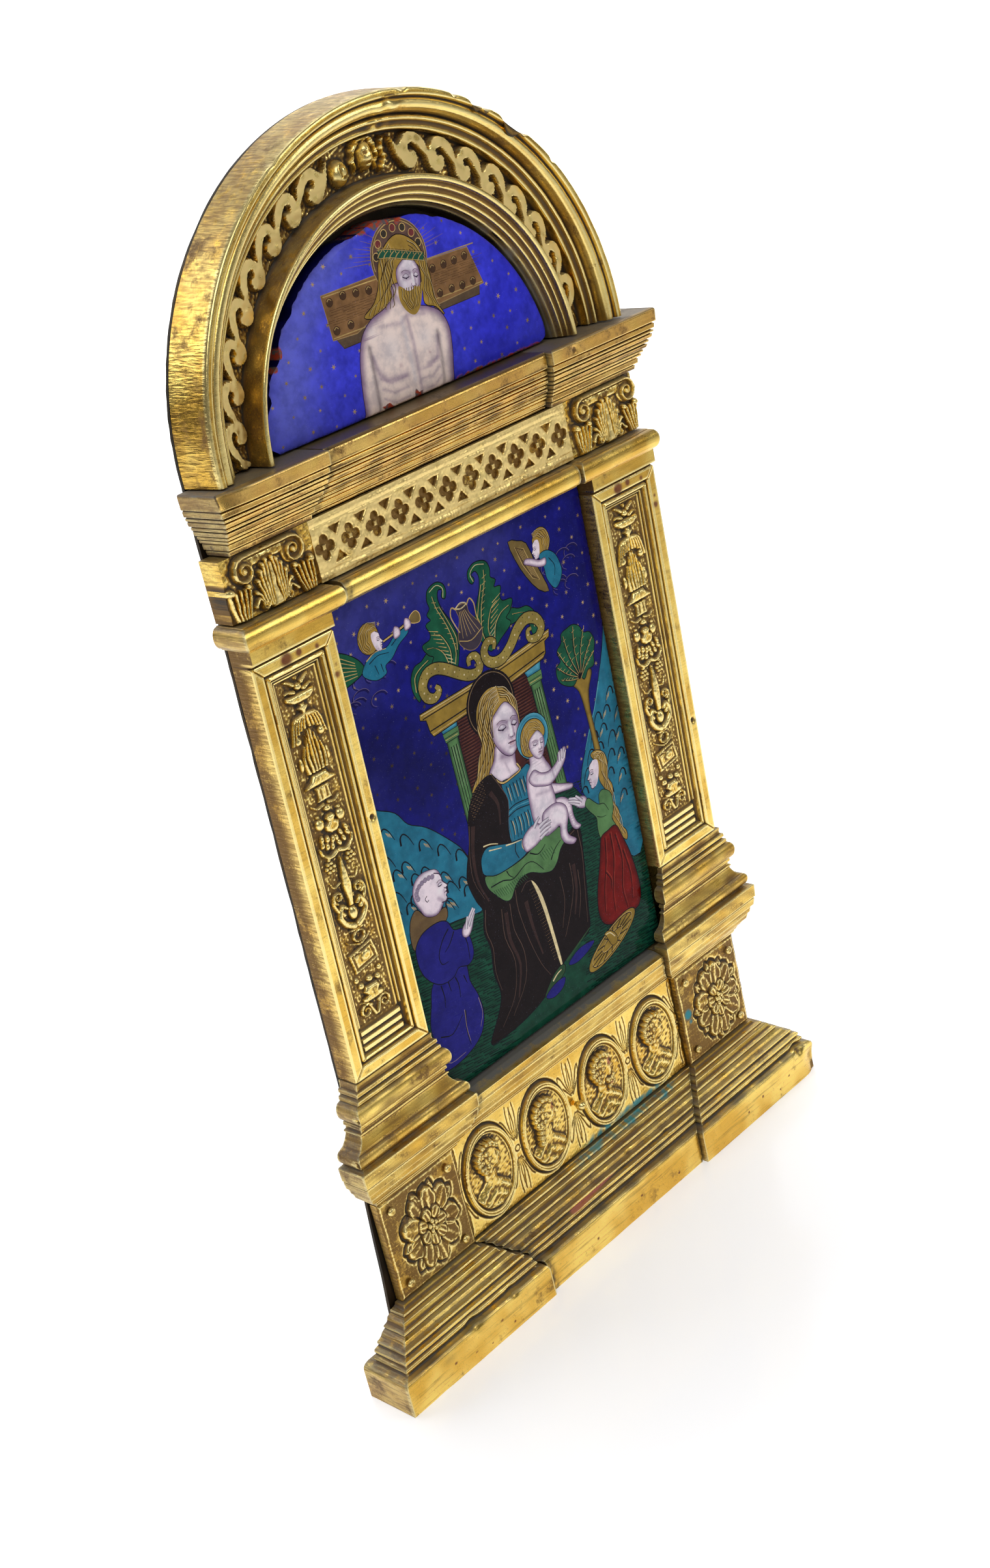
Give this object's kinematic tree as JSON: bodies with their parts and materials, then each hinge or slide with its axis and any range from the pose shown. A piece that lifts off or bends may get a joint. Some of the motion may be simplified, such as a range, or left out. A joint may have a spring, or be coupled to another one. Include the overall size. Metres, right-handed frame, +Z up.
{
  "type": "liturgical pax",
  "caption": "Standing pax in the form of a small tabernacle: gilt bronze plinth, pilasters, cornice and round arch framing an upright and a half-round painted enamel plaque.",
  "frame": {"origin": "middle of the plinth's underside, centred on the whole part's width and depth", "axes": "+Z up towards the apex of the arch; -Y out of the front, +Y towards the plain back; +X to the right as seen from the front"},
  "size_m": [0.1086, 0.011, 0.1899],
  "materials": {
    "gilt_bronze": "fire-gilt cast bronze, bright on the edges and brown or grey in the hollows",
    "dark_bronze": "dull, darkened bronze sheet",
    "enamel": "glossy painted enamel"
  },
  "bodies": {
    "root": {"back_plate": "dark_bronze", "plinth_left": "gilt_bronze", "plinth_centre": "gilt_bronze", "plinth_right": "gilt_bronze", "rosette_panel_left": "gilt_bronze", "rosette_panel_right": "gilt_bronze", "panel_pin_left_1": "gilt_bronze", "panel_pin_left_2": "gilt_bronze", "panel_pin_left_3": "gilt_bronze", "panel_pin_left_4": "gilt_bronze", "panel_pin_right_1": "gilt_bronze", "panel_pin_right_2": "gilt_bronze", "panel_pin_right_3": "gilt_bronze", "panel_pin_right_4": "gilt_bronze", "medallion_plate": "gilt_bronze", "ball_pin": "gilt_bronze", "pedestal_cap_left": "gilt_bronze", "pedestal_cap_centre": "gilt_bronze", "pedestal_cap_right": "gilt_bronze", "pilaster_left": "gilt_bronze", "pilaster_right": "gilt_bronze", "astragal_left": "gilt_bronze", "astragal_centre": "gilt_bronze", "astragal_right": "gilt_bronze", "capital_left": "gilt_bronze", "capital_right": "gilt_bronze", "frieze_strip": "gilt_bronze", "cornice_left": "gilt_bronze", "cornice_centre": "gilt_bronze", "cornice_right": "gilt_bronze", "arch": "gilt_bronze", "main_enamel": "enamel", "lunette_enamel": "enamel"}
  },
  "joints": []
}
